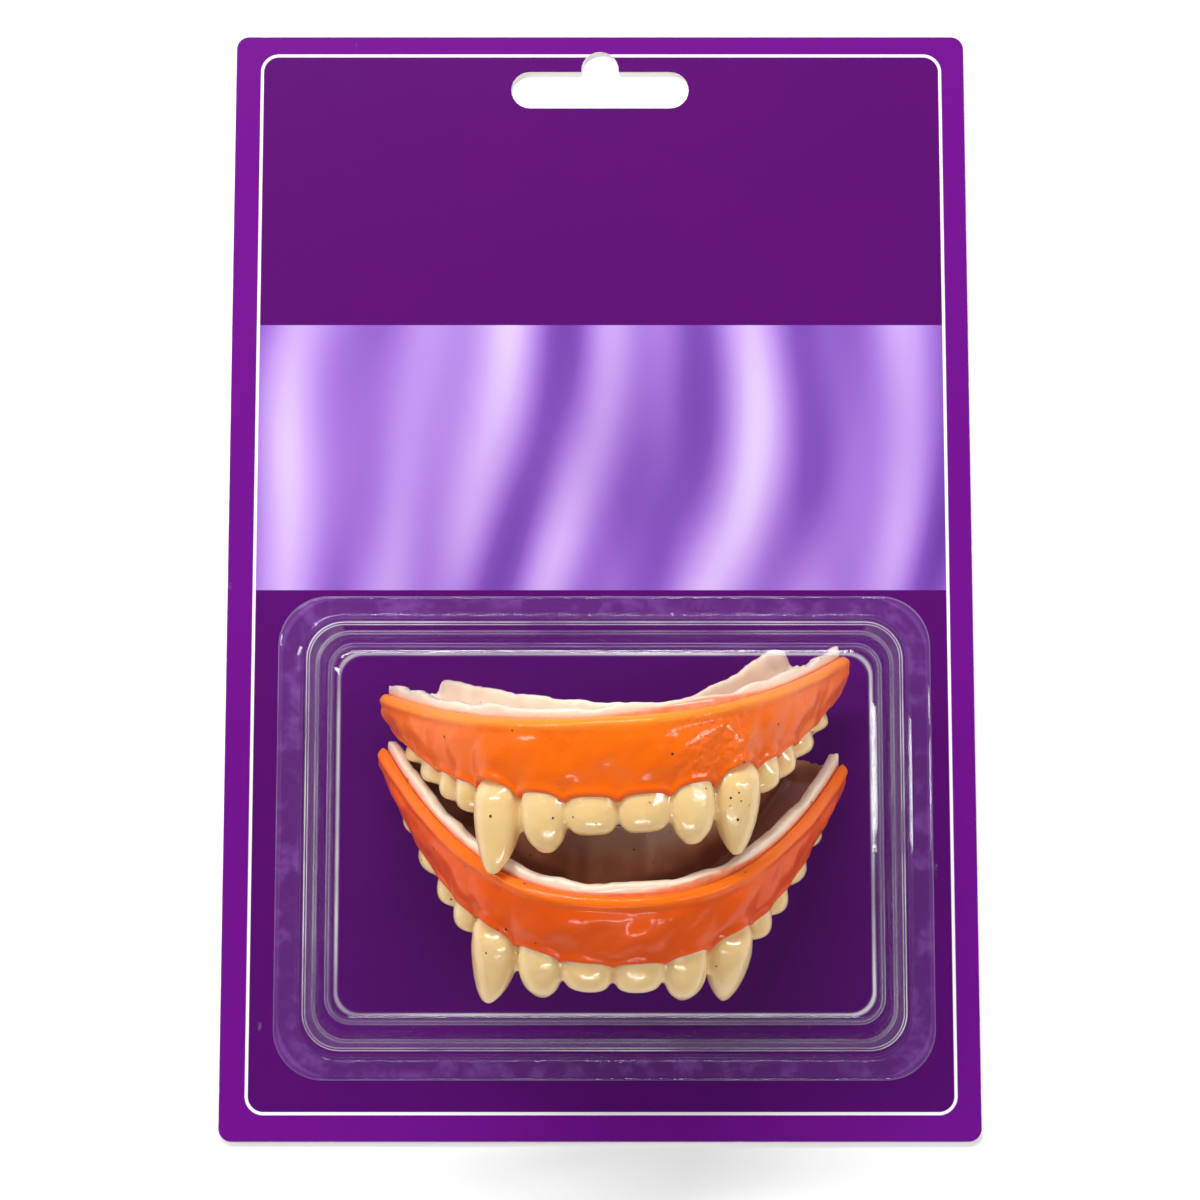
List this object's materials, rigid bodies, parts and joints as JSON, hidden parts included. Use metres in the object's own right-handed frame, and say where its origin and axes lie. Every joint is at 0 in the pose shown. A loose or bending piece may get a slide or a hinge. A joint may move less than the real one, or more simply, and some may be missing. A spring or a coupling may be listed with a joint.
{
  "type": "pair of vampire fang dentures in a blister card",
  "caption": "Soft vinyl fang dentures with an orange gum wall and an open trough for the wearer's teeth, held on a hanging card by a clear stepped blister.",
  "frame": {"origin": "middle of the card's back face, on the surface that the pack lies on", "axes": "+X to the right across the card, +Y along the card towards the hang slot, +Z out of the printed face"},
  "size_m": [0.105, 0.157, 0.0456],
  "materials": {
    "card_print": "varnished purple print",
    "clear_blister": "clear thermoformed sheet",
    "gum_vinyl": "glossy sprayed orange on soft vinyl",
    "cream_vinyl": "satin cream soft vinyl",
    "tooth_vinyl": "glossy yellowed cream soft vinyl"
  },
  "bodies": {
    "root": {"card": "card_print", "blister": "clear_blister", "top_gum": "gum_vinyl", "top_tray": "cream_vinyl", "top_central_left": "tooth_vinyl", "top_central_right": "tooth_vinyl", "top_lateral_left": "tooth_vinyl", "top_lateral_right": "tooth_vinyl", "top_fang_left": "tooth_vinyl", "top_fang_right": "tooth_vinyl", "top_premolar_first_left": "tooth_vinyl", "top_premolar_first_right": "tooth_vinyl", "top_premolar_second_left": "tooth_vinyl", "top_premolar_second_right": "tooth_vinyl", "top_molar_first_left": "tooth_vinyl", "top_molar_first_right": "tooth_vinyl", "top_molar_second_left": "tooth_vinyl", "top_molar_second_right": "tooth_vinyl", "bottom_gum": "gum_vinyl", "bottom_tray": "cream_vinyl", "bottom_central_left": "tooth_vinyl", "bottom_central_right": "tooth_vinyl", "bottom_lateral_left": "tooth_vinyl", "bottom_lateral_right": "tooth_vinyl", "bottom_fang_left": "tooth_vinyl", "bottom_fang_right": "tooth_vinyl", "bottom_premolar_first_left": "tooth_vinyl", "bottom_premolar_first_right": "tooth_vinyl", "bottom_premolar_second_left": "tooth_vinyl", "bottom_premolar_second_right": "tooth_vinyl", "bottom_molar_first_left": "tooth_vinyl", "bottom_molar_first_right": "tooth_vinyl", "bottom_molar_second_left": "tooth_vinyl", "bottom_molar_second_right": "tooth_vinyl"}
  },
  "joints": []
}
